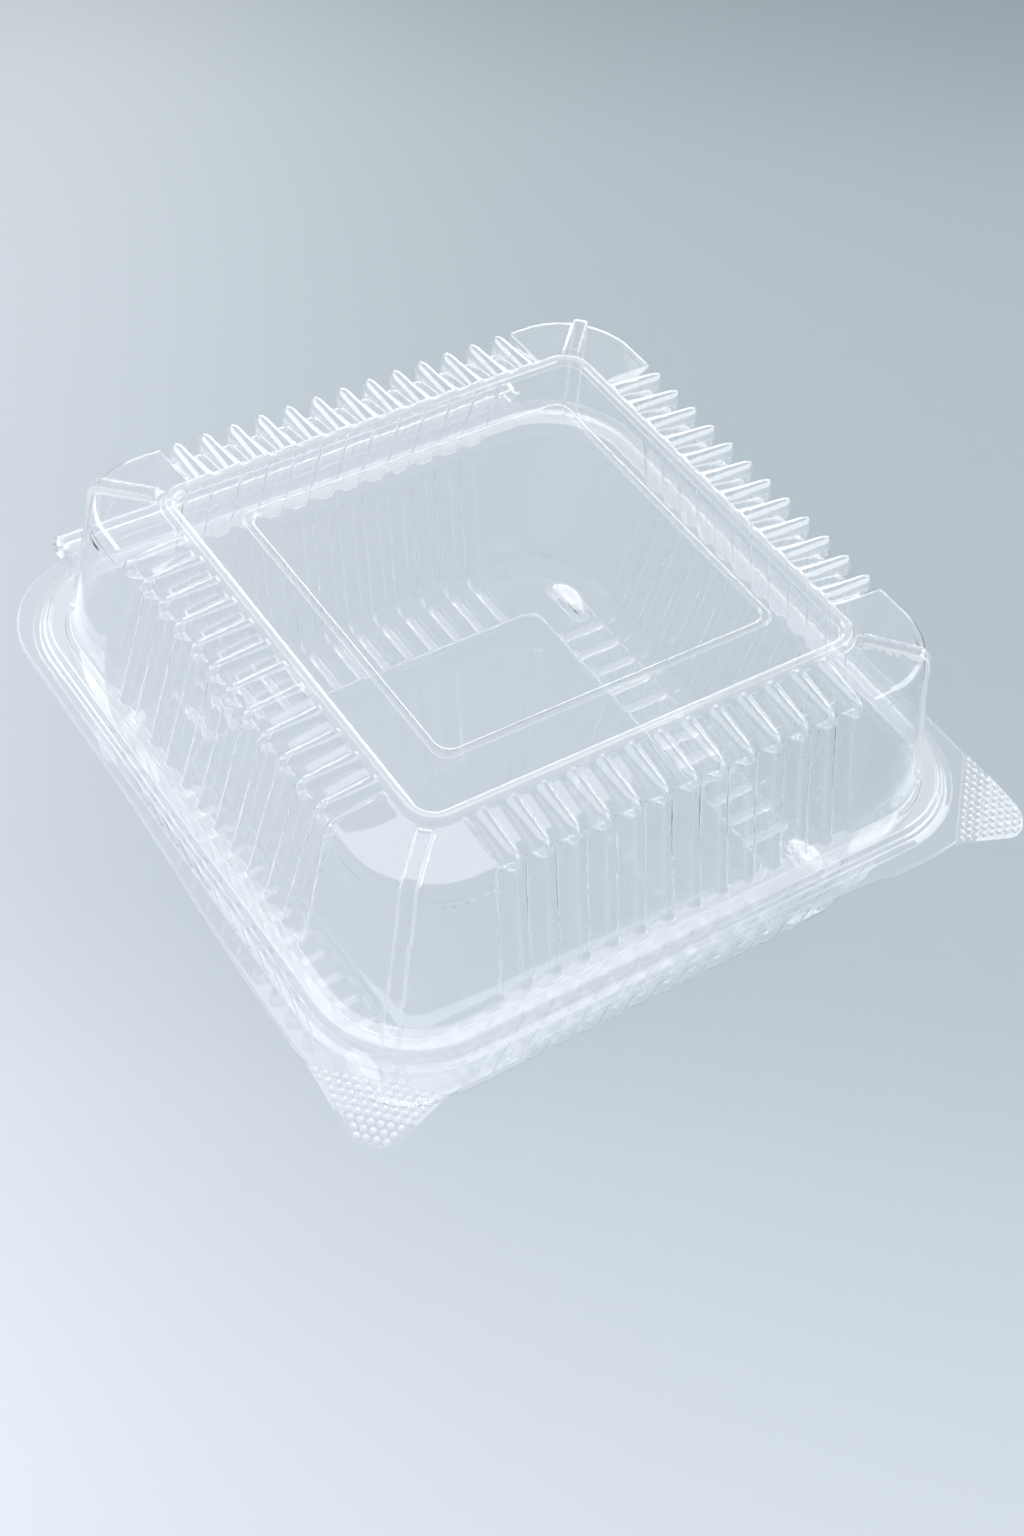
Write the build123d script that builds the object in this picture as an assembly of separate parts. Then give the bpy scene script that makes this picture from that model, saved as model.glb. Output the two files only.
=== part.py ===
from build123d import *
import os
from math import sqrt

# Square hinged clamshell container, formed from one clear plastic sheet, shown closed.
# The origin is the centre of the plane that it rests on. +Z is up, the hinge is at +Y,
# and the finger tabs are at the two -Y corners. Every formed zone is a hollow sheet.

# Sheet and heights, in millimetres
sheet = 0.5
foot_height = 1.2
floor_panel_top = 3.9
toe_top = 3.6
flange_top = 40.0
seat_top = 42.4
ledge_top = 43.2
shoulder_edge_top = 77.6
shoulder_inner_top = 79.2
panel_top = 79.7
frame_top = 81.0

# Half widths and corner radii of the rounded squares, centre outwards
floor_panel_half = 49.3
floor_panel_radius = 6.0
floor_panel_flare = 1.2
channel_half = 64.5
channel_radius = 13.5
toe_half = 66.4
toe_radius = 15.0
base_wall_half = 74.4
base_wall_radius = 19.0
seat_width = 3.1
flange_half = 85.0
flange_back_radius = 22.0
flange_lip_drop = 0.9

panel_line_half_x = 41.6
panel_line_half_y = 40.2
panel_line_radius = 3.5
panel_line_width = 1.5
panel_line_rise = 0.4
frame_half = 55.0
frame_radius = 7.0
frame_width = 2.9
shoulder_half = 66.5
shoulder_radius = 17.0
lid_wall_half = 72.9
lid_wall_radius = 19.0
skirt_clearance = 0.4
skirt_half = base_wall_half + seat_width + skirt_clearance + sheet
skirt_radius = base_wall_radius + seat_width + skirt_clearance + sheet
lip_width = 2.8
lip_gap = 0.25

# Ribs: hollow half-round blisters with a round tip that stands out past the edge. The slot
# under each one is (width, start, end), measured outwards from the middle of the container.
rib_pitch = 7.0
ribs_front_back = 13
ribs_left_right = 12
lid_rib_radius = 2.1
lid_rib_rise = 1.6
lid_rib_tip = 69.3
lid_rib_slot = (3.0, 57.0, 64.5)
base_rib_radius = 1.6
base_rib_drop = 1.0
base_rib_tip = 65.5
base_rib_slot = (1.8, 53.0, 63.0)

# Diagonal corner ridges of the lid
ridge_rise = 1.0
ridge_width = 3.4
ridge_wall_width = 2.0

# Finger tabs beyond the diagonal fold of each front corner
tab_fold = 20.0
tab_reach = 88.7
tab_radius = 7.0
tab_tip_inset = 3.0
tab_length = 24.0
tab_droop = 5.0

# Feet: shallow cups near the ends of the left and right channels
foot_x = 60.5
foot_y = 49.5
foot_width = 6.5
foot_length = 16.0
foot_radius = 3.0

# Living hinge: a base leaf, a spine and a lid leaf, with a crease on each side of the spine
crease_y = tab_reach - sheet
hinge_half_length = 63.0
crease_gap = 0.05
lid_leaf_bottom = ledge_top
lid_leaf_rise = 1.7

# Reach of the helper blocks that trim a shape; only has to clear the container
reach = 120.0


def rounded(half, radius, z):
    """A rounded square face at height z."""
    return Pos(0, 0, z) * RectangleRounded(2 * half, 2 * half, radius)


def slab(half, radius, z_low, z_high):
    """A rounded square block between two heights."""
    return extrude(rounded(half, radius, z_low), z_high - z_low)


def taper(low, high):
    """A straight-sided block between two rounded squares, each (half, radius, z)."""
    return loft([rounded(*low), rounded(*high)], ruled=True)


def turned(shapes, degrees):
    """The same shapes turned about the vertical axis."""
    return [Rot(0, 0, degrees) * shape for shape in shapes]


def write_node(name, shapes):
    """Write one named node; a list is a group of separate solids."""
    if not isinstance(shapes, list):
        shapes = [shapes]
    solids = [solid for shape in shapes for solid in shape.solids()]
    node = solids[0] if len(solids) == 1 else Compound(children=solids)
    node.label = name
    export_step(node, f"parts/{name}.step")


# ---------------------------------------------------------------- base

def floor_panel_block():
    """The space under the raised centre panel, skin included."""
    low = (floor_panel_half + floor_panel_flare, floor_panel_radius, foot_height)
    high = (floor_panel_half, floor_panel_radius, floor_panel_top)
    return taper(low, high)


def base_floor_panel():
    low = (floor_panel_half + floor_panel_flare - sheet, floor_panel_radius - sheet, foot_height)
    high = (floor_panel_half - sheet, floor_panel_radius - sheet, floor_panel_top - sheet)
    return floor_panel_block() - taper(low, high)


def base_toe_block():
    """The bevel where the channel turns up into the walls, as a full block."""
    return taper((channel_half, channel_radius, foot_height), (toe_half, toe_radius, toe_top))


def base_floor_channel():
    """Sunk floor around the centre panel, open into the hollow ribs and feet."""
    inside_low = (channel_half - sheet, channel_radius - sheet, foot_height + sheet)
    inside_high = (toe_half - sheet, toe_radius - sheet, toe_top)
    shell = base_toe_block() - taper(inside_low, inside_high) - floor_panel_block()
    return shell - at_feet(foot_inside()) - rib_slots(*base_rib_slot)


def base_wall_block():
    low = (toe_half, toe_radius, toe_top)
    high = (base_wall_half, base_wall_radius, flange_top - sheet)
    return taper(low, high)


def base_walls():
    low = (toe_half - sheet, toe_radius - sheet, toe_top)
    high = (base_wall_half - sheet, base_wall_radius - sheet, flange_top - sheet)
    return base_wall_block() - taper(low, high)


def flange_outline():
    """Square with round back corners and the front corners cut off at the tab folds."""
    half = flange_half
    outline = Polyline(
        (-half, half),
        (half, half),
        (half, tab_fold - half),
        (half - tab_fold, -half),
        (tab_fold - half, -half),
        (-half, tab_fold - half),
        close=True,
    )
    face = make_face(outline)
    back_corners = face.vertices().sort_by(Axis.Y)[-2:]
    return fillet(back_corners, flange_back_radius)


def flange_edges():
    """Turned-down edge along the straight left, right and front sides."""
    middle = flange_half - sheet / 2
    height = flange_top - sheet - flange_lip_drop / 2
    side_start = tab_fold - flange_half
    side_end = flange_half - flange_back_radius
    side = Box(sheet, side_end - side_start, flange_lip_drop)
    front = Box(2 * (flange_half - tab_fold), sheet, flange_lip_drop)
    side_middle = (side_start + side_end) / 2
    edges = [Pos(end * middle, side_middle, height) * side for end in (-1, 1)]
    return edges + [Pos(0, -middle, height) * front]


def base_rim():
    """Raised seat ring, flat flange and its turned-down edges."""
    bottom = flange_top - sheet
    seat_half = base_wall_half + seat_width
    seat_radius = base_wall_radius + seat_width
    opening = slab(base_wall_half - sheet, base_wall_radius - sheet, 0, reach)
    flange = extrude(Pos(0, 0, bottom) * flange_outline(), sheet)
    seat = slab(seat_half, seat_radius, bottom, seat_top)
    groove = slab(seat_half - sheet, seat_radius - sheet, bottom, seat_top - sheet)
    groove -= slab(base_wall_half, base_wall_radius, bottom, seat_top)
    return flange + seat - groove - opening + flange_edges()


def foot_inside():
    """The hollow of one foot, up through the channel floor."""
    width = foot_width - 2 * sheet
    length = foot_length - 2 * sheet
    outline = RectangleRounded(width, length, foot_radius - sheet)
    return extrude(Pos(0, 0, sheet) * outline, foot_height)


def base_feet():
    cup = extrude(RectangleRounded(foot_width, foot_length, foot_radius), foot_height)
    return at_feet(cup - foot_inside())


def at_feet(shape):
    """Copies of a shape at the four feet."""
    places = [(x, y) for x in (-foot_x, foot_x) for y in (-foot_y, foot_y)]
    return [Pos(x, y, 0) * shape for x, y in places]


def base_tab(side):
    """Finger tab beyond the fold at one front corner; side is -1 for left, 1 for right."""
    half = flange_half
    fold = Line((half, tab_fold - half), (half - tab_fold, -half))
    tip_centre = tab_reach - tab_radius
    tip = CenterArc((tip_centre - tab_tip_inset, -tip_centre), tab_radius, 0, 360)
    outline = extrude(make_hull([fold, tip]), reach)

    # Bent strip: a section across the fold, pulled along it
    top = flange_top
    bottom = flange_top - sheet
    bend = ThreePointArc((0, top), (tab_length / 2, top - tab_droop / 4), (tab_length, top - tab_droop))
    under = ThreePointArc(
        (tab_length, bottom - tab_droop), (tab_length / 2, bottom - tab_droop / 4), (0, bottom)
    )
    ends = [Line(bend @ 1, under @ 0), Line(under @ 1, bend @ 0)]
    section = make_face([bend, ends[0], under, ends[1]])
    fold_middle = (half - tab_fold / 2, tab_fold / 2 - half, 0)
    across = Plane(origin=fold_middle, x_dir=(1, -1, 0), z_dir=(-1, -1, 0))
    strip = extrude(across * section, tab_fold, both=True)
    tab = outline & strip
    return tab if side > 0 else mirror(tab, about=Plane.YZ)


def base_hinge_leaf():
    end = crease_y - crease_gap
    depth = end - base_wall_half
    leaf = Box(2 * hinge_half_length, depth, sheet)
    leaf = Pos(0, end - depth / 2, flange_top - sheet / 2) * leaf
    return leaf - extrude(flange_outline(), reach)


# ---------------------------------------------------------------- hinge

def hinge_spine():
    """Narrow strip that stands on edge when closed and lies flat when open."""
    height = lid_leaf_bottom - flange_top - 2 * crease_gap
    middle = (lid_leaf_bottom + flange_top) / 2
    return Pos(0, crease_y + sheet / 2, middle) * Box(2 * hinge_half_length, sheet, height)


# ---------------------------------------------------------------- lid

def panel_line(inset, width, z):
    """The embossed line of the window as a ring: inset from its outside, width across."""

    def block(step):
        size_x = 2 * (panel_line_half_x - step)
        size_y = 2 * (panel_line_half_y - step)
        outline = RectangleRounded(size_x, size_y, panel_line_radius - step)
        return extrude(Pos(0, 0, z) * outline, panel_line_rise)

    return block(inset) - block(inset + width)


def lid_top_panel():
    """Flat window with a thin line embossed from below."""
    inner_half = frame_half - frame_width
    bottom = panel_top - sheet
    plate = slab(inner_half, frame_radius - frame_width, bottom, panel_top)
    line = panel_line(0, panel_line_width, panel_top)
    groove = panel_line(sheet, panel_line_width - 2 * sheet, bottom)
    return plate + line - groove


def lid_frame():
    """Raised hollow bead around the window."""
    inner_half = frame_half - frame_width
    inner_radius = frame_radius - frame_width
    outer_foot = shoulder_inner_top - sheet
    cover = slab(frame_half, frame_radius, outer_foot, frame_top)
    cover -= slab(frame_half - sheet, frame_radius - sheet, outer_foot, frame_top - sheet)
    leg = slab(inner_half + sheet, inner_radius + sheet, panel_top - sheet, frame_top)
    return cover + leg - slab(inner_half, inner_radius, 0, reach)


def shoulder_block():
    """Everything under the sloping shoulder, down to the foot of the frame."""
    low = (shoulder_half, shoulder_radius, shoulder_edge_top)
    high = (frame_half, frame_radius, shoulder_inner_top)
    edge = slab(shoulder_half, shoulder_radius, shoulder_edge_top - sheet, shoulder_edge_top)
    return taper(low, high) + edge


def lid_shoulder():
    """Sloping ring between the frame and the walls, open into the hollow ribs."""
    low = (shoulder_half - sheet, shoulder_radius - sheet, shoulder_edge_top - sheet)
    high = (frame_half - sheet, frame_radius - sheet, shoulder_inner_top - sheet)
    shell = shoulder_block() - taper(low, high)
    shell -= slab(frame_half, frame_radius, 0, reach)
    return shell - rib_slots(*lid_rib_slot)


def lid_wall_block():
    low = (lid_wall_half, lid_wall_radius, ledge_top)
    high = (shoulder_half, shoulder_radius, shoulder_edge_top - sheet)
    return taper(low, high)


def lid_walls():
    low = (lid_wall_half - sheet, lid_wall_radius - sheet, ledge_top)
    high = (shoulder_half - sheet, shoulder_radius - sheet, shoulder_edge_top - sheet)
    return lid_wall_block() - taper(low, high)


def lid_rim():
    """Ledge at the foot of the walls, skirt over the seat ring, and lip on the flange."""
    bottom = flange_top + lip_gap
    ledge = slab(skirt_half, skirt_radius, bottom, ledge_top)
    lip = slab(skirt_half + lip_width, skirt_radius + lip_width, bottom, bottom + sheet)
    under = slab(skirt_half - sheet, skirt_radius - sheet, bottom, ledge_top - sheet)
    opening = slab(lid_wall_half - sheet, lid_wall_radius - sheet, bottom, ledge_top)
    return ledge + lip - under - opening


def lid_corner_ridges():
    """Flat-topped ridge from each frame corner, over the shoulder and down the wall corner."""

    def diagonal(half, radius):
        return sqrt(2) * (half - radius) + radius

    start = diagonal(frame_half, frame_radius) - 2
    edge = diagonal(shoulder_half, shoulder_radius)
    foot = diagonal(lid_wall_half, lid_wall_radius)
    strip_outline = Polyline(
        (start, shoulder_inner_top + ridge_rise),
        (edge, shoulder_edge_top + ridge_rise),
        (edge + ridge_rise, shoulder_edge_top - ridge_rise),
        (edge - 6, shoulder_edge_top - 8),
        (start, shoulder_edge_top - 8),
        close=True,
    )
    wall_outline = Polyline(
        (edge + ridge_rise, shoulder_edge_top - ridge_rise),
        (foot + ridge_rise, ledge_top),
        (foot - 6, ledge_top),
        (edge - 6, shoulder_edge_top - ridge_rise),
        close=True,
    )
    upright = Plane(origin=(0, 0, 0), x_dir=(1, 1, 0), z_dir=(1, -1, 0))
    strip = extrude(upright * make_face(strip_outline), ridge_width / 2, both=True)
    wall_strip = extrude(upright * make_face(wall_outline), ridge_wall_width / 2, both=True)
    ridge = strip + wall_strip - lid_envelope()
    return [Rot(0, 0, 90 * quarter) * ridge for quarter in range(4)]


def lid_hinge_leaf():
    """Riser from the lip and the flat leaf that ends at the upper crease."""
    lip_half = skirt_half + lip_width
    lip_bottom = flange_top + lip_gap
    start = lip_half - 2
    knee = lip_half + lid_leaf_rise
    end = crease_y - crease_gap
    outline = Polyline(
        (start, lip_bottom),
        (lip_half + sheet, lip_bottom),
        (knee + sheet, lid_leaf_bottom),
        (end, lid_leaf_bottom),
        (end, lid_leaf_bottom + sheet),
        (knee, lid_leaf_bottom + sheet),
        (lip_half, lip_bottom + sheet),
        (start, lip_bottom + sheet),
        close=True,
    )
    leaf = extrude(Plane.YZ * make_face(outline), hinge_half_length, both=True)
    return leaf - slab(lip_half, skirt_radius + lip_width, 0, reach)


# ---------------------------------------------------------------- ribs

def lid_envelope():
    """The outside of the lid without its ribs, as one block."""
    return shoulder_block() + lid_wall_block() + slab(frame_half, frame_radius, ledge_top, frame_top)


def base_envelope():
    """The outside of the base tub without its ribs, as one block."""
    return base_toe_block() + base_wall_block()


def rod(radius, start, end):
    """A round-ended rod from start to end, in the plane x = 0."""
    direction = Vector(*end) - Vector(*start)
    length = direction.length
    bar = Cylinder(radius, length, align=(Align.CENTER, Align.CENTER, Align.MIN))
    bar += Pos(0, 0, length) * Sphere(radius)
    return Plane(origin=start, z_dir=direction.normalized()) * bar


def lid_rib_rod(radius):
    """The rod that one front rib of the lid is made from."""
    sink = lid_rib_radius - lid_rib_rise
    start = (0, -(frame_half - 1), shoulder_inner_top - sink)
    end = (0, -(lid_rib_tip - lid_rib_radius), shoulder_edge_top - sink)
    return rod(radius, start, end)


def lid_rib():
    shell = lid_rib_rod(lid_rib_radius) - lid_rib_rod(lid_rib_radius - sheet)
    return shell - lid_envelope()


def base_rib_rod(radius):
    """The rod that one front rib of the base is made from."""
    lift = base_rib_radius - base_rib_drop
    inner = floor_panel_half + floor_panel_flare + base_rib_radius
    start = (0, -inner, foot_height + lift)
    end = (0, -(base_rib_tip - base_rib_radius), foot_height + lift)
    return rod(radius, start, end)


def base_rib():
    shell = base_rib_rod(base_rib_radius) - base_rib_rod(base_rib_radius - sheet)
    return shell - base_envelope()


def rib_row(rib, count):
    """Copies of the front rib, evenly spaced along X about the middle."""
    first = -(count - 1) / 2 * rib_pitch
    return [Pos(first + i * rib_pitch, 0, 0) * rib for i in range(count)]


def around(rib):
    """All four rows of a rib."""
    long_row = rib_row(rib, ribs_front_back)
    short_row = rib_row(rib, ribs_left_right)
    return long_row + turned(long_row, 180) + turned(short_row, 90) + turned(short_row, -90)


def rib_slots(width, start, end):
    """Slots under all the ribs, which open the hollow ribs to the inside."""
    outline = Rot(0, 0, 90) * SlotOverall(end - start, width)
    return around(extrude(Pos(0, -(start + end) / 2, 0) * outline, reach))


def write_rib_rows(prefix, rib):
    long_row = rib_row(rib, ribs_front_back)
    short_row = rib_row(rib, ribs_left_right)
    write_node(f"{prefix}_front", long_row)
    write_node(f"{prefix}_back", turned(long_row, 180))
    write_node(f"{prefix}_right", turned(short_row, 90))
    write_node(f"{prefix}_left", turned(short_row, -90))


# ---------------------------------------------------------------- output

os.makedirs("parts", exist_ok=True)

write_node("base_floor_panel", base_floor_panel())
write_node("base_floor_channel", base_floor_channel())
write_rib_rows("base_ribs", base_rib())
write_node("base_feet", base_feet())
write_node("base_walls", base_walls())
write_node("base_rim", base_rim())
write_node("base_tab_left", base_tab(-1))
write_node("base_tab_right", base_tab(1))
write_node("base_hinge_leaf", base_hinge_leaf())

write_node("hinge_spine", hinge_spine())

write_node("lid_top_panel", lid_top_panel())
write_node("lid_frame", lid_frame())
write_node("lid_shoulder", lid_shoulder())
write_rib_rows("lid_ribs", lid_rib())
write_node("lid_corner_ridges", lid_corner_ridges())
write_node("lid_walls", lid_walls())
write_node("lid_rim", lid_rim())
write_node("lid_hinge_leaf", lid_hinge_leaf())
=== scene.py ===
import math

import bpy
import numpy as np
from mathutils import Matrix, Vector


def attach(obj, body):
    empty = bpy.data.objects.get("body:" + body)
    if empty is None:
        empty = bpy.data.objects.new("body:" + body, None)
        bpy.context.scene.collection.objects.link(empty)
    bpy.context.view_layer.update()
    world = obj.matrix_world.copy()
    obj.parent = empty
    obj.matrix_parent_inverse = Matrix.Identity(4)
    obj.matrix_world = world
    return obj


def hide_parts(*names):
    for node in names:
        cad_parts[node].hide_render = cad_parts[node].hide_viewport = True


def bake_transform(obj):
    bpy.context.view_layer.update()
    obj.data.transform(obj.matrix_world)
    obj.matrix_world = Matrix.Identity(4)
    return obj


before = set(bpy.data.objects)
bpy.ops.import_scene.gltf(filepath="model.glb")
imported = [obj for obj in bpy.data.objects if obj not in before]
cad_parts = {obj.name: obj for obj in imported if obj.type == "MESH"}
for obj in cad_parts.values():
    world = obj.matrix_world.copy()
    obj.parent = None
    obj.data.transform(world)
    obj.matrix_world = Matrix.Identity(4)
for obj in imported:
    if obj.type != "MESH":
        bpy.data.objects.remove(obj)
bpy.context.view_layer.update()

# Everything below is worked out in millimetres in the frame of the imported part
# (+Z up, hinge at +Y, finger tabs at the two -Y corners) and written out in metres.
MM = 0.001
SHEET = 0.3

RIB_PITCH = 7.0
RIB_HALF_WIDTH = 2.15
RIB_EDGE = 0.96  # where a rib's edge is, as a share of its half width
RIBS_ON_SIDE = (13, 12, 13, 12)  # front, right, back, left

# Heights of the lid, from the window down to the ledge over the base's seat ring
FRAME_TOP = 81.0
FRAME_EDGE = 80.4
WINDOW_TOP = 79.7
WINDOW_LINE_TOP = 80.1
WALL_TOP = 74.3
LEDGE_TOP = 43.2

# Heights of the base
SEAT_TOP = 42.35
SEAT_WALL_TOP = 38.8
FLANGE_TOP = 40.0
FLOOR_PANEL_TOP = 3.9

# Share of white haze in the plain sheet; the two larger shares are painted highlight, pale sheet
# standing in for the bright lines on edges and beads and the glints on bumps and ridges
PLAIN_HAZE = 0.02
HIGHLIGHT_HAZE = 0.11
STRONG_HIGHLIGHT_HAZE = 0.38


# ------------------------------------------------------------------ smooth helpers

def smooth_step(low, high, value):
    """0 below low, 1 above high, and smooth between them."""
    t = np.clip((value - low) / (high - low), 0.0, 1.0)
    return t * t * (3.0 - 2.0 * t)


def waviness(points, scale, seed):
    """A gentle, repeatable unevenness between about -1 and 1, with features of about scale mm."""
    rng = np.random.default_rng(seed)
    waves = 7
    total = np.zeros(points.shape[:-1])
    for _ in range(waves):
        direction = rng.normal(size=3)
        direction /= np.linalg.norm(direction)
        length = scale * rng.uniform(0.7, 1.9)
        phase = rng.uniform(0.0, 2.0 * math.pi)
        total += np.sin(points @ direction * (2.0 * math.pi / length) + phase)
    return total / (waves / 2.0)


# ------------------------------------------------------------------ profiles and rings

def rounded_path(points, radii, steps, arc_steps=6):
    """Samples (half width, height) along a polyline whose inner corners are rounded."""
    points = np.array(points, float)
    starts, ends = [points[0]], []
    arcs = []
    for i, radius in enumerate(radii, start=1):
        to_last = points[i - 1] - points[i]
        to_next = points[i + 1] - points[i]
        len_last, len_next = np.linalg.norm(to_last), np.linalg.norm(to_next)
        cosine = np.clip(to_last @ to_next / (len_last * len_next), -0.9999, 0.9999)
        cut = radius / math.tan(math.acos(cosine) / 2.0)
        cut = min(cut, 0.48 * len_last, 0.48 * len_next)
        a = points[i] + to_last / len_last * cut
        b = points[i] + to_next / len_next * cut
        ends.append(a)
        starts.append(b)
        t = np.linspace(0.0, 1.0, arc_steps + 1)[1:-1, None]
        arcs.append((1 - t) ** 2 * a + 2 * t * (1 - t) * points[i] + t ** 2 * b)
    ends.append(points[-1])
    samples = []
    for i, count in enumerate(steps):
        samples.append(np.linspace(starts[i], ends[i], count + 1))
        if i < len(arcs):
            samples.append(arcs[i])
    return np.concatenate(samples)


class Columns:
    """The columns of a ring-shaped grid: which side each is on, and where along it.

    Close to the ribs a column keeps its place along the side at every height, so ribs stay
    parallel. Between there and the corner it stretches, and a corner is an arc.
    """

    FIXED, STRETCH, CORNER = 0, 1, 2

    def __init__(self, fixed_half, corner_steps=34):
        side, kind, value = [], [], []
        # Corner columns crowd towards the diagonal, where the narrow ridges are
        spread = np.linspace(-1.0, 1.0, 2 * corner_steps + 1)[1:-1]
        turn = math.radians(45.0) * (1.0 + np.sign(spread) * np.abs(spread) ** 1.5)
        for k, ribs in enumerate(RIBS_ON_SIDE):
            spots = self.spots(ribs, fixed_half)
            stretch = np.linspace(0.0, 1.0, 7)[1:]
            runs = (
                (self.STRETCH, -stretch[::-1]),
                (self.FIXED, spots),
                (self.STRETCH, stretch),
                (self.CORNER, turn),
            )
            for run_kind, values in runs:
                side += [k] * len(values)
                kind += [run_kind] * len(values)
                value += list(values)
        self.side = np.array(side)
        self.kind = np.array(kind)
        self.value = np.array(value)
        self.fixed_half = fixed_half
        self.corner = self.kind == self.CORNER
        self.ribs = np.array(RIBS_ON_SIDE)[self.side]
        self.off_rib = self.distance_to_rib()

    @staticmethod
    def spots(ribs, fixed_half):
        """Places along a side: close together across each rib, wider in the valleys."""
        across = RIB_HALF_WIDTH * np.sin(np.radians(np.linspace(-90.0, 90.0, 15)))
        valley = np.linspace(RIB_HALF_WIDTH, RIB_PITCH - RIB_HALF_WIDTH, 6)[1:-1]
        first = -(ribs - 1) / 2.0 * RIB_PITCH
        spots = []
        for i in range(ribs):
            centre = first + i * RIB_PITCH
            spots += list(centre + across)
            if i < ribs - 1:
                spots += list(centre + valley)
        last = -first + RIB_HALF_WIDTH
        margin = np.linspace(last, fixed_half, 10)[1:]
        return np.concatenate([-margin[::-1], spots, margin])

    def distance_to_rib(self):
        """Distance along the side to the nearest rib's middle, as a share of the half width."""
        first = -(self.ribs - 1) / 2.0 * RIB_PITCH
        nearest = np.clip(np.round((self.value - first) / RIB_PITCH), 0, self.ribs - 1)
        distance = np.abs(self.value - (first + nearest * RIB_PITCH)) / RIB_HALF_WIDTH
        return np.where(self.kind == self.FIXED, distance, 9.0)

    def round_rib(self, half_width=RIB_HALF_WIDTH):
        """Height share of a half-round rib: 1 on its middle line, 0 from its edges outwards."""
        off = np.minimum(self.off_rib * RIB_HALF_WIDTH / half_width, 1.0)
        return np.sqrt(1.0 - off ** 2)

    def flute(self):
        """Depth share of a flat flute with soft flanks, in line with each rib."""
        return 1.0 - smooth_step(0.7, 1.2, self.off_rib)

    def plain(self):
        """1 at the corners, which have no ribs, and 0 where the ribs are."""
        edge = (self.ribs - 1) / 2.0 * RIB_PITCH + RIB_HALF_WIDTH
        ramp = smooth_step(edge + 0.5, edge + 1.7, np.abs(self.value))
        return np.where(self.kind == self.FIXED, ramp, 1.0)

    def place(self, half_x, half_y, radius, height, chord=0.0):
        """Points of the grid. Each argument is an array of stations by columns."""
        even = self.side % 2 == 0
        along_half = np.where(even, half_x, half_y)
        reach = np.where(even, half_y, half_x)
        straight = along_half - radius
        fixed_half = np.minimum(self.fixed_half, 0.985 * straight)
        stretched = np.sign(self.value) * (
            fixed_half + np.abs(self.value) * (straight - fixed_half)
        )
        fixed = self.value * fixed_half / self.fixed_half
        angle = np.where(self.corner, self.value, 0.0)
        share = angle / (math.pi / 2.0)
        turn_along = np.sin(angle) * (1 - chord) + share * chord
        turn_out = np.cos(angle) * (1 - chord) + (1 - share) * chord
        along = np.where(self.kind == self.FIXED, fixed, stretched)
        along = np.where(self.corner, straight + radius * turn_along, along)
        out = np.where(self.corner, reach - radius + radius * turn_out, reach)
        quarter = self.side * (math.pi / 2.0)
        x = along * np.cos(quarter) + out * np.sin(quarter)
        y = along * np.sin(quarter) - out * np.cos(quarter)
        return np.stack([x, y, height + 0.0 * x], axis=-1)


def grid_normals(grid):
    """Unit normals of a ring grid, pointing up or outwards."""
    down = np.gradient(grid, axis=0)
    around = np.roll(grid, -1, axis=1) - np.roll(grid, 1, axis=1)
    normal = np.cross(down, around)
    return normal / np.maximum(np.linalg.norm(normal, axis=-1, keepdims=True), 1e-9)


# ------------------------------------------------------------------ materials

def pet_material(name, haze_and_highlight, grain=1.0):
    """Clear formed plastic: glossy, with faint grain, fine scuffs and a share of white haze; a large
    share is painted highlight.
    """
    material = bpy.data.materials.new(name)
    material.use_nodes = True
    nodes, links = material.node_tree.nodes, material.node_tree.links
    shader = nodes["Principled BSDF"]
    shader.inputs["Base Color"].default_value = (0.985, 0.992, 1.0, 1.0)
    shader.inputs["Transmission Weight"].default_value = 1.0 - haze_and_highlight
    shader.inputs["IOR"].default_value = 1.035
    shader.inputs["Coat Weight"].default_value = 1.0
    shader.inputs["Coat IOR"].default_value = 1.62
    shader.inputs["Coat Roughness"].default_value = 0.015

    place = nodes.new("ShaderNodeTexCoord")
    scuffs = nodes.new("ShaderNodeTexNoise")
    scuffs.inputs["Scale"].default_value = 55.0
    scuffs.inputs["Detail"].default_value = 5.0
    links.new(place.outputs["Object"], scuffs.inputs["Vector"])
    roughness = nodes.new("ShaderNodeMapRange")
    roughness.inputs["From Min"].default_value = 0.35
    roughness.inputs["From Max"].default_value = 0.75
    roughness.inputs["To Min"].default_value = 0.02
    roughness.inputs["To Max"].default_value = 0.09
    links.new(scuffs.outputs["Fac"], roughness.inputs["Value"])
    links.new(roughness.outputs["Result"], shader.inputs["Roughness"])

    fine = nodes.new("ShaderNodeTexNoise")
    fine.inputs["Scale"].default_value = 420.0
    fine.inputs["Detail"].default_value = 2.0
    links.new(place.outputs["Object"], fine.inputs["Vector"])
    bump = nodes.new("ShaderNodeBump")
    bump.inputs["Strength"].default_value = 0.05 * grain
    bump.inputs["Distance"].default_value = 0.0004
    links.new(fine.outputs["Fac"], bump.inputs["Height"])
    links.new(bump.outputs["Normal"], shader.inputs["Normal"])

    # Light reaches what stands behind the sheet, as it does through thin clear plastic
    clear = nodes.new("ShaderNodeBsdfTransparent")
    clear.inputs["Color"].default_value = (0.985, 0.99, 0.995, 1.0)
    path = nodes.new("ShaderNodeLightPath")
    either = nodes.new("ShaderNodeMath")
    either.operation = "MAXIMUM"
    links.new(path.outputs["Is Shadow Ray"], either.inputs[0])
    links.new(path.outputs["Is Diffuse Ray"], either.inputs[1])
    mix = nodes.new("ShaderNodeMixShader")
    output = nodes["Material Output"]
    links.new(either.outputs["Value"], mix.inputs["Fac"])
    links.new(shader.outputs["BSDF"], mix.inputs[1])
    links.new(clear.outputs["BSDF"], mix.inputs[2])
    links.new(mix.outputs["Shader"], output.inputs["Surface"])
    return material


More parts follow.
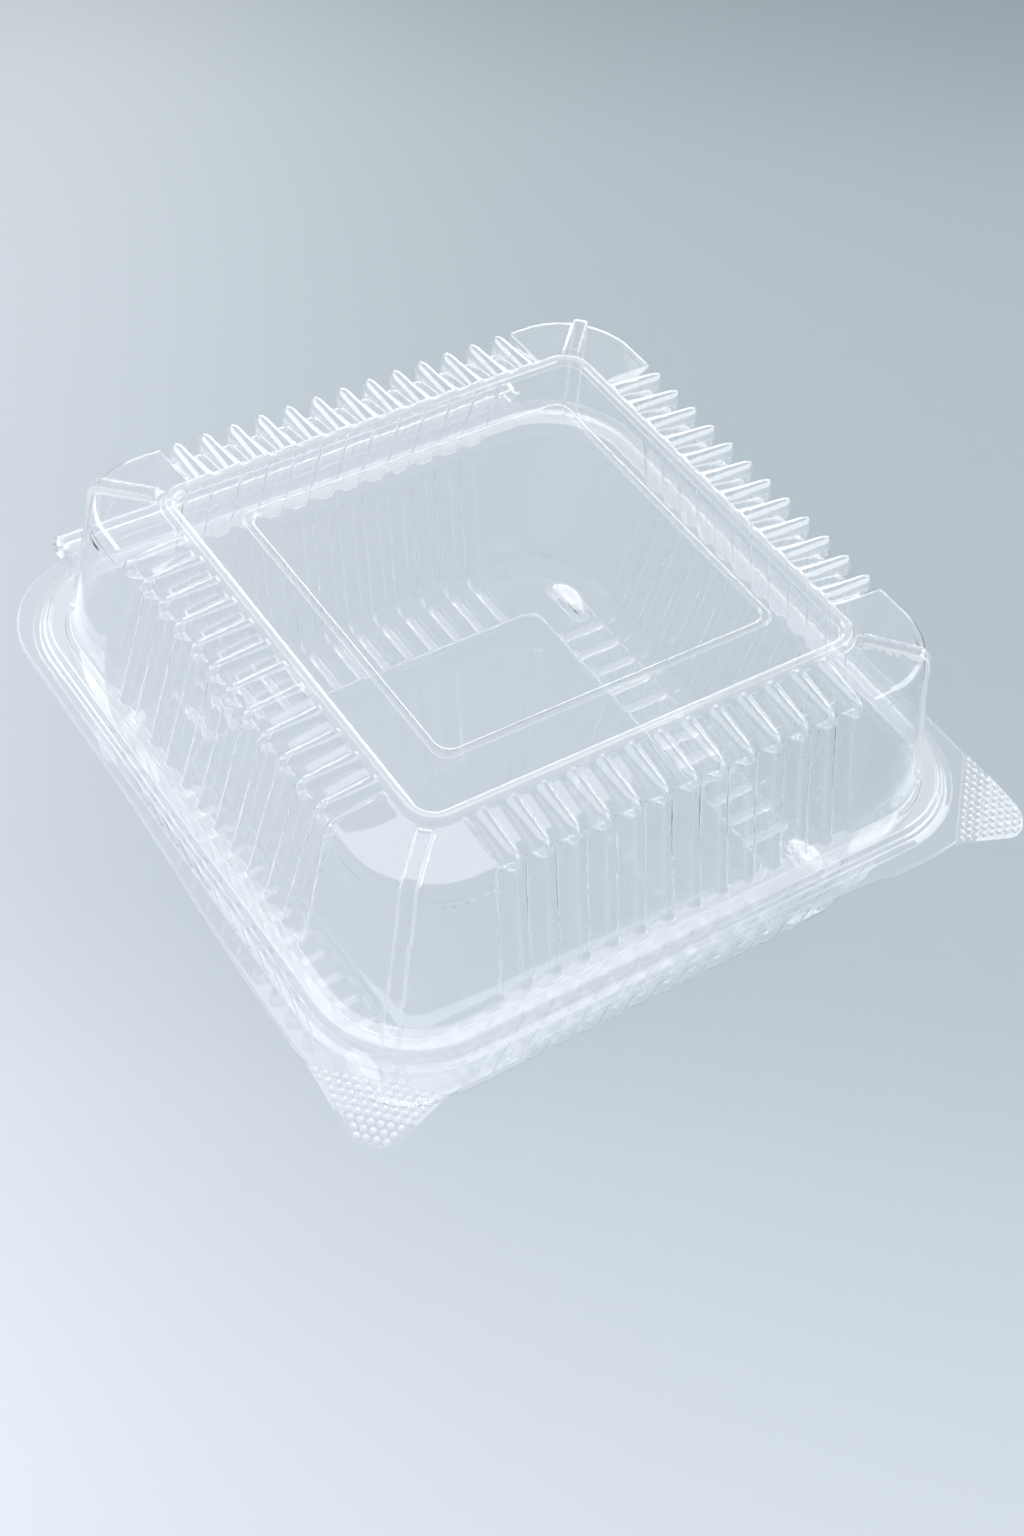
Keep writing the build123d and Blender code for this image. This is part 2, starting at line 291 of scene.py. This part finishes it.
PET = pet_material("clear_sheet", PLAIN_HAZE)
# Painted highlight: these two paler sheets stand in for the bright highlight lines and glints on
# edges, beads, ridges and bumps
PET_HIGHLIGHT = pet_material("clear_sheet_painted_highlight", HIGHLIGHT_HAZE)
PET_STRONG_HIGHLIGHT = pet_material("clear_sheet_painted_strong_highlight", STRONG_HIGHLIGHT_HAZE, grain=2.0)


# ------------------------------------------------------------------ meshes

def mesh_object(name, vertices, faces, material):
    mesh = bpy.data.meshes.new(name)
    mesh.from_pydata((np.asarray(vertices) * MM).tolist(), [], faces)
    mesh.materials.append(material)
    mesh.polygons.foreach_set("use_smooth", [True] * len(mesh.polygons))
    mesh.update()
    piece = bpy.data.objects.new(name, mesh)
    bpy.context.scene.collection.objects.link(piece)
    return piece


def thicken(piece, thickness=SHEET):
    """Gives a surface its sheet thickness on the side away from its normals."""
    solid = piece.modifiers.new("sheet", "SOLIDIFY")
    solid.thickness = thickness * MM
    solid.offset = -1.0
    solid.use_rim = True
    return piece


def paint_highlight(piece, places, material):
    """Gives the faces at these places a paler material: painted highlight, pale sheet standing in for
    bright highlight lines and glints.
    """
    piece.data.materials.append(material)
    slot = len(piece.data.materials) - 1
    for face in np.flatnonzero(places):
        piece.data.polygons[int(face)].material_index = slot


def ring_piece(name, grid, material):
    """A ring grid with its middle closed, as one surface facing up or outwards."""
    stations, around = grid.shape[:2]
    vertices = grid.reshape(-1, 3).tolist()
    index = np.arange(stations * around).reshape(stations, around)
    ahead = np.roll(index, -1, axis=1)
    quads = np.stack([index[:-1], index[1:], ahead[1:], ahead[:-1]], axis=-1)
    faces = quads.reshape(-1, 4).tolist()
    vertices.append(grid[0].mean(axis=0).tolist())
    centre = len(vertices) - 1
    faces += [(centre, int(a), int(b)) for a, b in zip(index[0], ahead[0])]
    return thicken(mesh_object(name, vertices, faces, material))


def sheet_piece(name, grid, material, flip=False, thickness=SHEET):
    """An open rectangular grid of points as a thin sheet."""
    rows, columns = grid.shape[:2]
    index = np.arange(rows * columns).reshape(rows, columns)
    corners = [index[:-1, :-1], index[1:, :-1], index[1:, 1:], index[:-1, 1:]]
    if flip:
        corners.reverse()
    faces = np.stack(corners, axis=-1).reshape(-1, 4).tolist()
    return thicken(mesh_object(name, grid.reshape(-1, 3), faces, material), thickness)


def stations(path, half_table, radius_table, columns):
    """Half widths, radii and heights of a path, one row per sample."""
    half = path[:, 0]
    radius = np.interp(half, radius_table[0], radius_table[1])
    half_y = half - np.interp(half, half_table[0], half_table[1])
    ones = np.ones((1, len(columns.side)))
    return [values[:, None] * ones for values in (half, half_y, radius, path[:, 1])]


def near_any(values, lines, reach):
    """True where a value is within reach of one of the lines."""
    return np.min([np.abs(values - line) for line in lines], axis=0) < reach


def mixed(layers, weights):
    """Adds weighted differences of further layers to the first layer."""
    result = [array.copy() for array in layers[0]]
    for layer, weight in zip(layers[1:], weights):
        for i, array in enumerate(layer):
            result[i] += weight * (array - layers[0][i])
    return result


# ------------------------------------------------------------------ lid

RIDGE_LIFT_ON_SHOULDER = 1.15
RIDGE_LIFT_ON_WALL = 1.0
RIDGE_HALF_WIDTH = 1.7
RIDGE_HALF_WIDTH_ON_WALL = 1.35
RIDGE_FLARE_AT_FOOT = 1.1
RIDGE_EDGE = 1.6  # distance of the ridge's edge from the diagonal
UNEVENNESS = 0.13  # of the lid wall
WINDOW_UNEVENNESS = 0.05


def lid_paths():
    """Section of the lid in a valley, along a rib, and at a plain corner."""
    window = [
        (2.0, WINDOW_TOP), (39.95, WINDOW_TOP), (40.3, WINDOW_LINE_TOP),
        (41.4, WINDOW_LINE_TOP), (41.75, WINDOW_TOP), (52.0, WINDOW_TOP),
    ]
    frame_bead = [
        (52.2, FRAME_EDGE), (52.85, 80.95), (53.5, FRAME_TOP), (54.2, 80.95), (54.8, FRAME_EDGE),
    ]
    rim = [
        (77.7, LEDGE_TOP), (78.2, 41.75), (78.9, 41.6), (79.2, 40.75), (81.05, 40.6), (81.15, 40.35),
    ]
    valley = [(55.1, 79.25), (64.6, 77.6), (65.2, 76.0), (65.6, WALL_TOP), (73.0, LEDGE_TOP)]
    rib = [(55.2, 80.25), (69.3, 79.4), (69.3, 75.4), (65.2, WALL_TOP), (71.8, LEDGE_TOP)]
    corner = [(55.1, 79.6), (69.0, 78.9), (69.37, 75.6), (69.52, WALL_TOP), (73.0, LEDGE_TOP)]
    window_radii = [0.35, 0.35, 0.35, 0.35, 0.4]
    bead_radii = [0.6, 0.7, 0.8, 0.7, 0.6]
    rim_radii = [0.7, 0.4, 0.45, 0.6, 0.3]
    steps = [14, 2, 3, 2, 8, 2, 2, 2, 2, 2, 2]
    wall_steps = [16, 4, 4, 30]
    rim_steps = [8, 4, 2, 3, 4, 1]
    paths = []
    middles = ((valley, 1.3, 0.5, 0.5), (rib, 2.2, 1.9, 0.9), (corner, 1.6, 0.5, 0.5))
    for middle, edge, under, joint in middles:
        points = window + frame_bead + middle + rim
        radii = window_radii + bead_radii + [0.5, edge, under, joint, 0.45] + rim_radii
        paths.append(rounded_path(points, radii, steps + wall_steps + rim_steps, 5))
    return paths


def diagonal_ridge(grid, half_width, softness):
    """1 on a strip along each diagonal and 0 off it."""
    off = off_diagonal(grid)
    return 1.0 - smooth_step(half_width - softness, half_width + softness, off)


def off_diagonal(grid):
    return np.abs(np.abs(grid[..., 0]) - np.abs(grid[..., 1])) / math.sqrt(2.0)


def build_lid():
    columns = Columns(fixed_half=46.9)
    half_table = ((0, 30, 41.6, 52.0, 55.0, 69.0, 73.0, 82.0), (0, 1.0, 1.5, 0.9, 0.7, 0.9, 0.0, 0.0))
    radius_table = (
        (0, 2.0, 41.6, 52.1, 55.0, 66.5, 72.9, 78.4, 81.2),
        (0.5, 1.0, 3.5, 4.1, 7.0, 17.0, 19.0, 23.0, 25.8),
    )
    paths = lid_paths()
    layers = [stations(path, half_table, radius_table, columns) for path in paths]
    height = layers[0][3]
    # Ribs are half round on the shoulder and turn into shallow flat flutes on the wall
    on_top = smooth_step(73.6, 74.3, height)
    rib = columns.flute() + on_top * (columns.round_rib() - columns.flute())
    grid = columns.place(*mixed(layers, [rib * (1 - columns.plain()), columns.plain()]))

    half = layers[0][0]
    on_shoulder = smooth_step(55.6, 56.6, half) * smooth_step(73.5, 75.0, height)
    on_wall = (1.0 - smooth_step(73.5, 75.0, height)) * smooth_step(43.3, 43.6, height)
    foot = 1.0 - smooth_step(44.0, 50.0, height)
    width = RIDGE_HALF_WIDTH_ON_WALL + RIDGE_FLARE_AT_FOOT * foot
    lift = RIDGE_LIFT_ON_SHOULDER * on_shoulder * diagonal_ridge(grid, RIDGE_HALF_WIDTH, 0.2)
    lift += RIDGE_LIFT_ON_WALL * on_wall * diagonal_ridge(grid, width, 0.28)
    uneven = smooth_step(43.0, 46.0, height) * (1.0 - smooth_step(73.0, 77.0, height))
    window = 1.0 - smooth_step(49.0, 51.0, half)
    lift += UNEVENNESS * uneven * waviness(grid * (1.0, 1.0, 0.3), 15.0, 3)
    lift += WINDOW_UNEVENNESS * window * waviness(grid, 60.0, 5)
    grid = grid + grid_normals(grid) * lift[..., None]
    lid = ring_piece("lid_shell", grid, PET)
    # Painted highlight: the edges of flutes, ribs and corner ridges, the beads and the ledge get
    # paler sheet that stands in for their bright highlight lines
    above_ledge = height > 43.4
    flute_edges = near_any(columns.off_rib, (RIB_EDGE,), 0.08) & (height < 73.0) & above_ledge
    ridge_edges = near_any(off_diagonal(grid), (RIDGE_EDGE,), 0.3) & (half > 56.0) & above_ledge
    beads = near_any(half, (40.1, 41.6, 77.9, 79.3), 0.22) | near_any(half, (53.5,), 1.7)
    ledge = (height < 43.5) & (half < 77.7)
    rib_edges = near_any(columns.off_rib, (RIB_EDGE,), 0.08) & (half > 56.0) & (height > 76.0)
    paint_highlight(lid, (flute_edges | rib_edges | beads | ledge)[:-1], PET_HIGHLIGHT)
    paint_highlight(lid, (ridge_edges & columns.corner)[:-1], PET_STRONG_HIGHLIGHT)
    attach(lid, "lid")
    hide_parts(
        "lid_top_panel", "lid_frame", "lid_shoulder", "lid_ribs_front", "lid_ribs_back",
        "lid_ribs_left", "lid_ribs_right", "lid_corner_ridges", "lid_walls", "lid_rim",
    )


# ------------------------------------------------------------------ base

FLANGE_HALF = 85.0
FLANGE_BOW = 2.7
FLANGE_DRAWN_IN = 1.9
FLANGE_BACK_RADIUS = 25.0
FLOOR_RIB_HALF_WIDTH = 1.6
BOSS_HALF = (3.2, 6.5)
BOSS_RISE = 1.5
BOSS_DIMPLE = 0.7
FOOT_X = 60.5
FOOT_Y = 49.5
TAB_FOLD = 20.0
HINGE_HALF = 63.0


def base_paths():
    """Section of the base between ribs and along a rib, as its inner and upper face."""
    panel = [(2.0, FLOOR_PANEL_TOP), (49.3, FLOOR_PANEL_TOP)]
    plain = [(50.4, 1.7), (62.8, 1.7), (66.0, 4.4), (73.6, 36.5), (73.95, SEAT_WALL_TOP)]
    rib = [(50.7, 0.55), (63.2, 0.55), (66.5, 4.4), (74.4, 35.0), (73.95, SEAT_WALL_TOP)]
    rim = [
        (74.0, SEAT_TOP), (77.4, SEAT_TOP), (77.65, FLANGE_TOP), (FLANGE_HALF - 0.2, FLANGE_TOP),
    ]
    edge = [(FLANGE_HALF, 39.2)]
    steps = [16, 3, 20, 6, 28, 3, 4, 4, 3, 10, 2]
    paths = []
    for middle in (plain, rib):
        radii = [0.8, 0.7, 1.6, 2.0, 3.0, 1.0, 0.8, 0.7, 0.5, 0.4]
        paths.append(rounded_path(panel + middle + rim + edge, radii, steps, 5))
    return paths


def foot_bosses(grid):
    """Height of the four oval bosses that stand up in the channel over the feet."""
    off = np.hypot(
        (np.abs(grid[..., 0]) - FOOT_X) / BOSS_HALF[0],
        (np.abs(grid[..., 1]) - FOOT_Y) / BOSS_HALF[1],
    )
    rise = BOSS_RISE * (1.0 - smooth_step(0.55, 1.0, off))
    return rise - BOSS_DIMPLE * (1.0 - smooth_step(0.0, 0.55, off))


def build_base():
    columns = Columns(fixed_half=45.2)
    half_table = ((0, 49.3, 66.0, 86.0), (0, 0.8, 0.3, 0.0))
    radius_table = (
        (0, 2.0, 40.0, 49.3, 50.4, 64.0, 66.4, 74.0, 77.5, 85.0),
        (0.5, 1.0, 3.0, 3.3, 4.4, 13.5, 15.0, 19.0, 22.0, 21.0),
    )
    layers = [stations(path, half_table, radius_table, columns) for path in base_paths()]
    half, _, _, height = layers[0]
    on_wall = smooth_step(2.0, 6.0, height)
    floor_rib = columns.round_rib(FLOOR_RIB_HALF_WIDTH)
    rib = (floor_rib + on_wall * (columns.flute() - floor_rib)) * (1 - columns.plain())
    half_x, half_y, radius, level = mixed(layers, [rib])

    # The flange: front corners cut by the tab folds, a bowed front edge, sides that draw in
    # towards the back, and a turned-down edge
    flange = smooth_step(78.0, FLANGE_HALF - 0.5, half)
    front = columns.side == 0
    front_corner = columns.corner & ((columns.side == 0) | (columns.side == 3))
    radius = radius - flange * (radius - np.where(front_corner, TAB_FOLD, FLANGE_BACK_RADIUS))
    bow = np.clip(1.0 - (columns.value / 62.0) ** 2, 0.0, 1.0) * (columns.kind == Columns.FIXED)
    half_y = half_y - flange * FLANGE_BOW * bow * front
    toward_back = np.select(
        [columns.side == 1, columns.side == 3], [columns.value, -columns.value], 0.0
    )
    along_side = smooth_step(-45.0, 20.0, toward_back) * (columns.kind == Columns.FIXED)
    beyond = (columns.kind == Columns.STRETCH) & (toward_back > 0.0)
    back_corner = columns.corner & ~front_corner
    drawn_in = np.where(beyond | back_corner | (columns.side == 2), 1.0, along_side)
    half_x = half_x - flange * FLANGE_DRAWN_IN * drawn_in
    held = front_corner | ((columns.side == 2) & (columns.kind == Columns.FIXED))
    level = np.where(held & (half > 84.0), FLANGE_TOP, level)
    grid = columns.place(half_x, half_y, radius, level, chord=flange * front_corner)

    wall = smooth_step(4.0, 8.0, height) * (1.0 - smooth_step(36.0, 40.0, height))
    lift = 0.12 * wall * waviness(grid * (1.0, 1.0, 0.3), 15.0, 11)
    lift += 0.04 * (1.0 - smooth_step(47.0, 49.0, half)) * waviness(grid, 45.0, 13)
    in_channel = smooth_step(50.6, 51.2, half) * (1.0 - smooth_step(66.0, 67.0, half))
    grid = grid + grid_normals(grid) * lift[..., None]
    grid[..., 2] += in_channel * foot_bosses(grid)
    base = ring_piece("base_shell", grid, PET)
    # Painted highlight: flute edges, beads, floor ribs and foot bosses get paler sheet that stands in
    # for their bright highlight lines and glints
    flute_edges = near_any(columns.off_rib, (RIB_EDGE,), 0.08) & (height < 36.0) & (height > 5.0)
    beads = near_any(half, (49.8, 74.0, 77.5, FLANGE_HALF), 0.25)
    paint_highlight(base, (flute_edges | beads)[:-1], PET_HIGHLIGHT)
    on_rib = (columns.off_rib < 0.62) & (half > 51.2) & (half < 63.5)
    on_boss = foot_bosses(grid) > 0.3
    paint_highlight(base, (on_rib & (in_channel > 0.5))[:-1], PET_HIGHLIGHT)
    paint_highlight(base, (on_boss & (in_channel > 0.5))[:-1], PET_STRONG_HIGHLIGHT)
    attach(base, "base")
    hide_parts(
        "base_floor_panel", "base_floor_channel", "base_ribs_front", "base_ribs_back",
        "base_ribs_left", "base_ribs_right", "base_walls", "base_rim",
    )


def build_feet():
    """Four shallow cups under the channel."""
    places = [(x, y) for y in (-FOOT_Y, FOOT_Y) for x in (-FOOT_X, FOOT_X)]
    for number, (x, y) in enumerate(places):
        angle = np.linspace(0.0, 2.0 * math.pi, 49)[:-1]
        rows = []
        for inset, height in ((0.0, 1.25), (0.15, 0.4), (0.6, 0.05), (1.6, 0.0), (3.0, 0.0)):
            half_x, half_y, power = 3.1 - inset, 7.8 - inset, 4.0
            cosine, sine = np.cos(angle), np.sin(angle)
            size = (np.abs(cosine) ** power + np.abs(sine) ** power) ** (-1.0 / power)
            rows.append(
                np.stack(
                    [x + half_x * size * cosine, y + half_y * size * sine, height + 0 * angle],
                    axis=-1,
                )
            )
        vertices = np.concatenate(rows)
        index = np.arange(len(vertices)).reshape(len(rows), -1)
        ahead = np.roll(index, -1, axis=1)
        quads = np.stack([index[:-1], index[1:], ahead[1:], ahead[:-1]], axis=-1)
        faces = quads.reshape(-1, 4).tolist() + [index[-1].tolist()]
        foot = thicken(mesh_object(f"base_foot_{number + 1}", vertices, faces, PET))
        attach(foot, "base")
        if number == 0:
            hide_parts("base_feet")


TAB_TIP = (78.7, -81.7)
TAB_RADIUS = 7.0
TAB_DROOP = 5.0
TAB_LENGTH = 24.0
TAB_SHEET = 0.2
BUMP_PITCH_ALONG = 2.0
BUMP_PITCH_OUT = 1.65
BUMP_RADIUS = 0.68
BUMP_HEIGHT = 0.6
FOLD_MIDDLE = FLANGE_HALF - TAB_FOLD / 2.0


def tab_edge(out, side):
    """Distance along the fold to one edge of the tab: a straight side and a round tip."""
    turn = np.linspace(0.0, 2.0 * math.pi, 721)
    x = TAB_TIP[0] + TAB_RADIUS * np.cos(turn) - FOLD_MIDDLE
    y = TAB_TIP[1] + TAB_RADIUS * np.sin(turn) + FOLD_MIDDLE
    tip_out, tip_along = (x - y) / math.sqrt(2.0), (x + y) / math.sqrt(2.0) * side
    start = TAB_FOLD / math.sqrt(2.0)
    share = out[:, None] / np.maximum(tip_out, 0.01)[None, :]
    along = start + (tip_along[None, :] - start) * share
    return side * np.where(share <= 1.0, along, -99.0).max(axis=1)


def build_tab(side):
    """Finger tab with rows of small bumps, beyond the fold at one front corner."""
    middle_out = (TAB_TIP[0] - FOLD_MIDDLE - TAB_TIP[1] - FOLD_MIDDLE) / math.sqrt(2.0)
    length = middle_out + TAB_RADIUS - 0.005
    out = length * (1.0 - (1.0 - np.linspace(0.0, 1.0, 110)) ** 1.15)
    across = np.linspace(0.0, 1.0, 170)
    low, high = tab_edge(out, -1.0), tab_edge(out, 1.0)
    sideways = low[:, None] + (high - low)[:, None] * across[None, :]
    outward = out[:, None] + 0.0 * sideways
    drop = TAB_DROOP * (outward / TAB_LENGTH) ** 2

    row = np.floor(outward / BUMP_PITCH_OUT)
    shift = (row % 2) * BUMP_PITCH_ALONG / 2.0
    column = np.round((sideways - shift) / BUMP_PITCH_ALONG)
    from_bump = np.hypot(
        (sideways - shift - column * BUMP_PITCH_ALONG) / BUMP_RADIUS,
        (outward - (row + 0.5) * BUMP_PITCH_OUT) / BUMP_RADIUS,
    )
    to_edge = np.minimum(sideways - low[:, None], high[:, None] - sideways)
    inside = (to_edge > 0.9) & (outward < length - 0.8) & (outward > 0.6)
    bump = BUMP_HEIGHT * np.clip(1.0 - from_bump ** 2, 0.0, 1.0) ** 0.7 * inside

    x = FOLD_MIDDLE + (outward + sideways) / math.sqrt(2.0)
    y = -FOLD_MIDDLE + (sideways - outward) / math.sqrt(2.0)
    grid = np.stack([side * x, y, FLANGE_TOP - drop + bump], axis=-1)
    name = "left" if side < 0 else "right"
    tab = sheet_piece(f"tab_{name}", grid, PET, flip=side < 0, thickness=TAB_SHEET)
    # Painted highlight: the bumps get the palest sheet, standing in for the white glints on them
    paint_highlight(tab, bump[:-1, :-1] > 0.12, PET_STRONG_HIGHLIGHT)
    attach(tab, "base")
    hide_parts(f"base_tab_{name}")


# ------------------------------------------------------------------ hinge

LOWER_CREASE_Z = 40.0
UPPER_CREASE_Z = 43.2


def swept(path, half_length, count=60):
    """A path in (y, z) swept along X."""
    x = np.linspace(-half_length, half_length, count)
    grid = np.zeros((len(path), count, 3))
    grid[..., 0] = x[None, :]
    grid[..., 1] = path[:, 0:1]
    grid[..., 2] = path[:, 1:2]
    return grid


def build_hinge():
    """Leaf of the base, leaf of the lid, the spine between them and the two creases."""
    base_leaf = rounded_path([(84.4, 39.95), (87.6, 39.95)], [], [6])
    lid_leaf = rounded_path(
        [(81.0, 40.65), (82.7, 43.62), (84.6, 43.62), (85.2, 43.35), (87.6, 43.62)],
        [0.8, 0.5, 0.5], [5, 4, 3, 5],
    )
    spine = rounded_path([(88.62, 40.8), (88.4, 41.6), (88.62, 42.4)], [0.4], [4, 4])
    lower = rounded_path([(87.5, 39.55), (88.6, 39.6), (88.62, 40.9)], [0.5], [5, 5])
    upper = rounded_path([(88.62, 42.3), (88.6, 43.6), (87.5, 43.62)], [0.5], [5, 5])
    leaves = (
        ("base_leaf", base_leaf, "base", "base_hinge_leaf"),
        ("lid_leaf", lid_leaf, "lid", "lid_hinge_leaf"),
        ("spine_strip", spine, "spine", "hinge_spine"),
    )
    for name, path, body, node in leaves:
        piece = sheet_piece(name, swept(path, HINGE_HALF - 0.2), PET)
        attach(piece, body)
        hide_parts(node)
    folds = (
        ("crease_lower", lower, "base", "spine", LOWER_CREASE_Z, 0.5),
        ("crease_upper", upper, "spine", "lid", UPPER_CREASE_Z, -0.5),
    )
    for name, path, first, second, level, lift in folds:
        piece = sheet_piece(name, swept(path, HINGE_HALF - 0.4), PET, thickness=0.25)
        bpy.context.view_layer.update()
        apply_modifiers(piece)
        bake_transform(piece)


def apply_modifiers(piece):
    """Bakes a piece's modifiers into its mesh."""
    graph = bpy.context.evaluated_depsgraph_get()
    mesh = bpy.data.meshes.new_from_object(piece.evaluated_get(graph))
    piece.modifiers.clear()
    piece.data = mesh


build_lid()
build_base()
build_feet()
build_tab(-1)
build_tab(1)
build_hinge()


# ------------------------------------------------------------------ stage

def floor_material():
    """Matt pale paper with painted shade: lighter near the front left, cooler and darker towards the
    right and far away, as the studio light falls off.
    """
    material = bpy.data.materials.new("studio_paper")
    material.use_nodes = True
    nodes, links = material.node_tree.nodes, material.node_tree.links
    shader = nodes["Principled BSDF"]
    shader.inputs["Roughness"].default_value = 0.8
    shader.inputs["Specular IOR Level"].default_value = 0.2
    place = nodes.new("ShaderNodeTexCoord")
    across = (
        (0.0, (1.0, 1.0, 1.0)), (0.19, (0.92, 0.93, 0.935)), (0.41, (0.765, 0.79, 0.80)),
        (0.6, (0.713, 0.75, 0.76)), (0.8, (0.686, 0.73, 0.74)), (1.0, (0.67, 0.715, 0.728)),
    )
    away = (
        (0.0, (0.90, 0.91, 0.97)), (0.155, (0.69, 0.715, 0.775)), (0.243, (0.61, 0.64, 0.69)),
        (0.467, (0.525, 0.567, 0.605)), (0.78, (0.475, 0.515, 0.547)), (1.0, (0.26, 0.29, 0.315)),
    )
    # Painted shade: the falloff of the studio light across the floor is painted into the paper's
    # colour by these two ramps
    painted_shade_ramps = ((39.0, -0.18, 0.14, across), (-51.0, -0.18, 0.42, away))
    colours = []
    for angle, start, end, stops in painted_shade_ramps:
        turn = nodes.new("ShaderNodeMapping")
        turn.inputs["Rotation"].default_value = (0.0, 0.0, math.radians(angle))
        links.new(place.outputs["Object"], turn.inputs["Vector"])
        split = nodes.new("ShaderNodeSeparateXYZ")
        links.new(turn.outputs["Vector"], split.inputs["Vector"])
        span = nodes.new("ShaderNodeMapRange")
        span.inputs["From Min"].default_value = start
        span.inputs["From Max"].default_value = end
        links.new(split.outputs["X"], span.inputs["Value"])
        ramp = nodes.new("ShaderNodeValToRGB")
        ramp.color_ramp.interpolation = "B_SPLINE"
        for place_on, colour in stops[1:-1]:
            ramp.color_ramp.elements.new(place_on).color = (*colour, 1.0)
        ramp.color_ramp.elements[0].color = (*stops[0][1], 1.0)
        ramp.color_ramp.elements[-1].color = (*stops[-1][1], 1.0)
        links.new(span.outputs["Result"], ramp.inputs["Fac"])
        colours.append(ramp.outputs["Color"])
    product = nodes.new("ShaderNodeMix")
    product.data_type = "RGBA"
    product.blend_type = "MULTIPLY"
    product.inputs["Factor"].default_value = 1.0
    links.new(colours[0], product.inputs["A"])
    links.new(colours[1], product.inputs["B"])
    links.new(product.outputs["Result"], shader.inputs["Base Color"])
    return material


def build_floor():
    side = 3.0
    count = 24
    line = np.linspace(-side, side, count)
    x, y = np.meshgrid(line, line)
    vertices = np.stack([x, y, 0.0 * x - 0.0001], axis=-1).reshape(-1, 3) / MM
    index = np.arange(count * count).reshape(count, count)
    quads = np.stack([index[:-1, :-1], index[:-1, 1:], index[1:, 1:], index[1:, :-1]], axis=-1)
    floor = mesh_object("studio_floor", vertices, quads.reshape(-1, 4).tolist(), floor_material())


def soft_box(name, azimuth, elevation, distance, size, power):
    """A panel facing the lid, placed by its direction from it: azimuth is from +Y to +X."""
    light = bpy.data.lights.new(name, "AREA")
    light.shape = "RECTANGLE"
    light.size, light.size_y = size
    light.energy = power
    lamp = bpy.data.objects.new(name, light)
    turn, rise = math.radians(azimuth), math.radians(elevation)
    outward = Vector(
        (math.sin(turn) * math.cos(rise), math.cos(turn) * math.cos(rise), math.sin(rise))
    )
    lamp.location = outward * distance + Vector((0.0, 0.0, 0.06))
    lamp.rotation_euler = (-outward).to_track_quat("-Z", "Y").to_euler()
    bpy.context.scene.collection.objects.link(lamp)


def build_lights():
    """Soft panels for the gloss; right and left each light one flank of the ribs."""
    soft_box("back", 41.0, 9.5, 1.24, (1.3, 0.34), 6.0)
    soft_box("key", 20.0, 66.0, 1.10, (0.9, 0.4), 1.4)
    soft_box("right", 100.0, 40.0, 2.2, (1.9, 1.2), 16.0)
    soft_box("left", -17.0, 38.0, 2.2, (1.4, 1.0), 11.0)
    world = bpy.data.worlds.new("studio")
    world.use_nodes = True
    background = world.node_tree.nodes["Background"]
    background.inputs["Color"].default_value = (0.95, 0.975, 1.0, 1.0)
    background.inputs["Strength"].default_value = 0.8
    bpy.context.scene.world = world


def build_camera():
    """Looks down at the front left corner, with the picture turned a little."""
    azimuth, elevation, roll = math.radians(39.318), math.radians(47.282), math.radians(7.815)
    forward = Vector(
        (
            math.sin(azimuth) * math.cos(elevation),
            math.cos(azimuth) * math.cos(elevation),
            -math.sin(elevation),
        )
    )
    level_right = forward.cross(Vector((0.0, 0.0, 1.0))).normalized()
    level_up = level_right.cross(forward)
    right = level_right * math.cos(roll) + level_up * math.sin(roll)
    up = right.cross(forward)
    camera = bpy.data.cameras.new("camera")
    camera.sensor_fit = "HORIZONTAL"
    camera.sensor_width = 36.0
    camera.lens = 36.0 * 2356.7 / 1024.0
    camera.clip_end = 50.0
    view = bpy.data.objects.new("camera", camera)
    view.matrix_world = Matrix.Translation(Vector((-226.7, -287.9, 415.2)) * MM) @ Matrix(
        (right, up, -forward)
    ).transposed().to_4x4()
    bpy.context.scene.collection.objects.link(view)
    bpy.context.scene.camera = view


def build_view():
    scene = bpy.context.scene
    scene.view_settings.view_transform = "Standard"
    scene.cycles.max_bounces = 24
    scene.cycles.transmission_bounces = 24
    scene.cycles.transparent_max_bounces = 24
    scene.cycles.glossy_bounces = 6
    scene.cycles.caustics_reflective = False
    scene.cycles.caustics_refractive = False


build_floor()
build_lights()
build_camera()
build_view()
